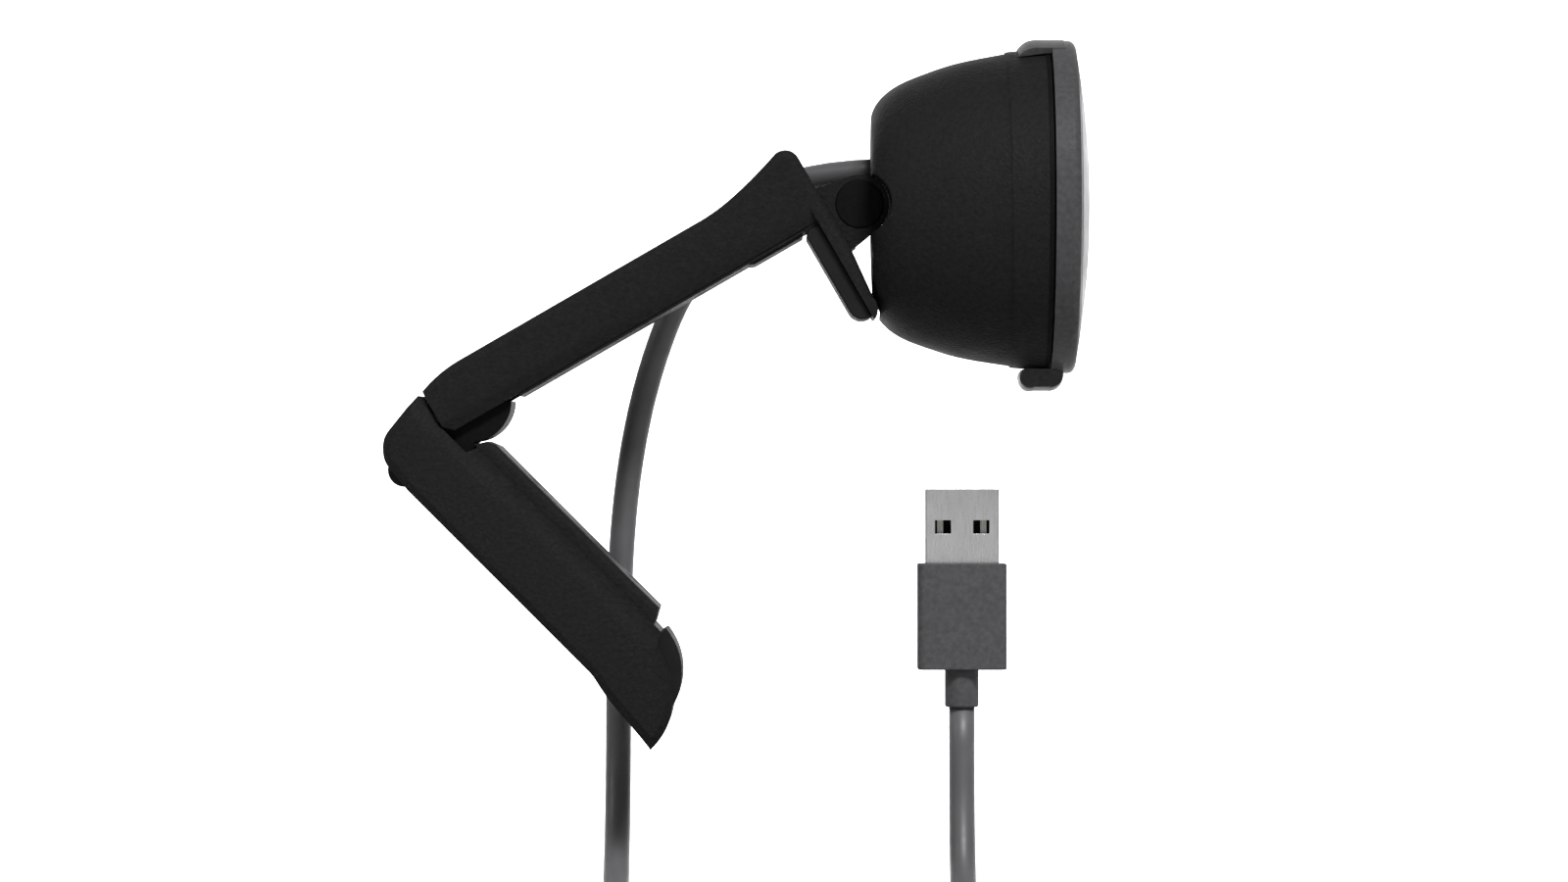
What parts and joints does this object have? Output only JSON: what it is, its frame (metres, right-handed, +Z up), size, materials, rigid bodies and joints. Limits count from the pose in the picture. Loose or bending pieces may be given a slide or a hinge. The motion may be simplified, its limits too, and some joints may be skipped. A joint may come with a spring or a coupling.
{
  "type": "clip-on webcam",
  "caption": "Round desktop webcam on a folding display clip: tilting head, turning shutter ring, folding leg with rubber pads, and a corded plug.",
  "frame": {"origin": "middle of the face of the rubber pad under the clip's arm, where the clip rests on the display", "axes": "+X is the way the lens looks, +Z up, +Y to the side the cord hangs on"},
  "size_m": [0.1123, 0.0817, 0.1528],
  "materials": {
    "charcoal_plastic": "fine moulded grain",
    "ring_plastic": "satin",
    "front_plastic": "satin",
    "inner_plastic": "matt",
    "black_rubber": "matt",
    "steel": "brushed",
    "nylon": "matt",
    "cord_jacket": "satin",
    "strap_fabric": "woven hook and loop",
    "plug_plastic": "fine grain",
    "contact_brass": "plated",
    "circuit_board": "solder mask",
    "chip": "smooth",
    "spreader_metal": "milled",
    "window_glass": "tinted, polished",
    "lens_glass": "coated, polished",
    "light_guide": "polished"
  },
  "bodies": {
    "clip": {"clip_arm": "charcoal_plastic", "arm_under_cover": "charcoal_plastic", "cover_screws": "steel", "arm_grip_pad": "black_rubber", "lip_grip_pad": "black_rubber", "hinge_bracket": "charcoal_plastic", "bracket_screws": "steel", "tilt_pin": "steel", "pin_cap_near": "black_rubber", "pin_cap_far": "black_rubber", "tilt_friction_washers": "nylon", "elbow_pin": "steel", "cord_lead": "cord_jacket", "cord_drop": "cord_jacket", "cord_coil": "cord_jacket", "cable_strap": "strap_fabric", "cord_tail": "cord_jacket", "plug_strain_relief": "plug_plastic", "plug_body": "plug_plastic", "plug_shell": "steel", "plug_tongue": "inner_plastic", "plug_contacts": "contact_brass"},
    "leg": {"leg_shell": "charcoal_plastic", "leg_knuckle": "inner_plastic", "elbow_friction_spring": "steel", "leg_inner_cover": "charcoal_plastic", "leg_screws": "steel", "heel_bumper": "black_rubber", "foot_pad": "black_rubber"},
    "head": {"rear_housing": "charcoal_plastic", "tilt_lug": "steel", "lug_screws": "steel", "ring_seat": "inner_plastic", "seat_screws": "steel", "front_bezel": "front_plastic", "lens_window": "window_glass", "camera_board": "circuit_board", "board_screws": "steel", "heat_spreader": "spreader_metal", "video_processor": "chip", "image_sensor": "chip", "lens_holder": "inner_plastic", "infrared_filter": "lens_glass", "lens_barrel": "inner_plastic", "lens_rear": "lens_glass", "lens_middle": "lens_glass", "lens_front": "lens_glass", "microphone": "spreader_metal", "microphone_tube": "black_rubber", "light_pipe": "light_guide", "indicator_light": "chip", "cable_grommet": "black_rubber", "inner_lead": "cord_jacket", "lead_connector": "inner_plastic"},
    "shutter_ring": {"shutter_ring": "ring_plastic"},
    "shutter_blade": {"shutter_blade": "inner_plastic"}
  },
  "joints": [
    {"name": "head_tilt", "type": "hinge", "parent": "clip", "child": "head", "pos_m": [0.01282, 0, 0.0074], "axis": [0, -1, 0], "range_deg": [0, 50], "deforming": ["cord_lead"]},
    {"name": "leg_fold", "type": "hinge", "parent": "clip", "child": "leg", "pos_m": [-0.0491, 0, -0.02396], "axis": [0, -1, 0], "range_deg": [0, 55]},
    {"name": "shutter_ring_turn", "type": "hinge", "parent": "head", "child": "shutter_ring", "pos_m": [0.045, 0, 0.0072], "axis": [1, 0, 0], "range_deg": [0, 20]},
    {"name": "shutter_blade_turn", "type": "hinge", "parent": "head", "child": "shutter_blade", "pos_m": [0.0462, 0, 0.0202], "axis": [1, 0, 0], "range_deg": [0, 56]}
  ],
  "couplings": [
    {"joint": "shutter_blade_turn", "follows": "shutter_ring_turn", "ratio": 2.8}
  ]
}
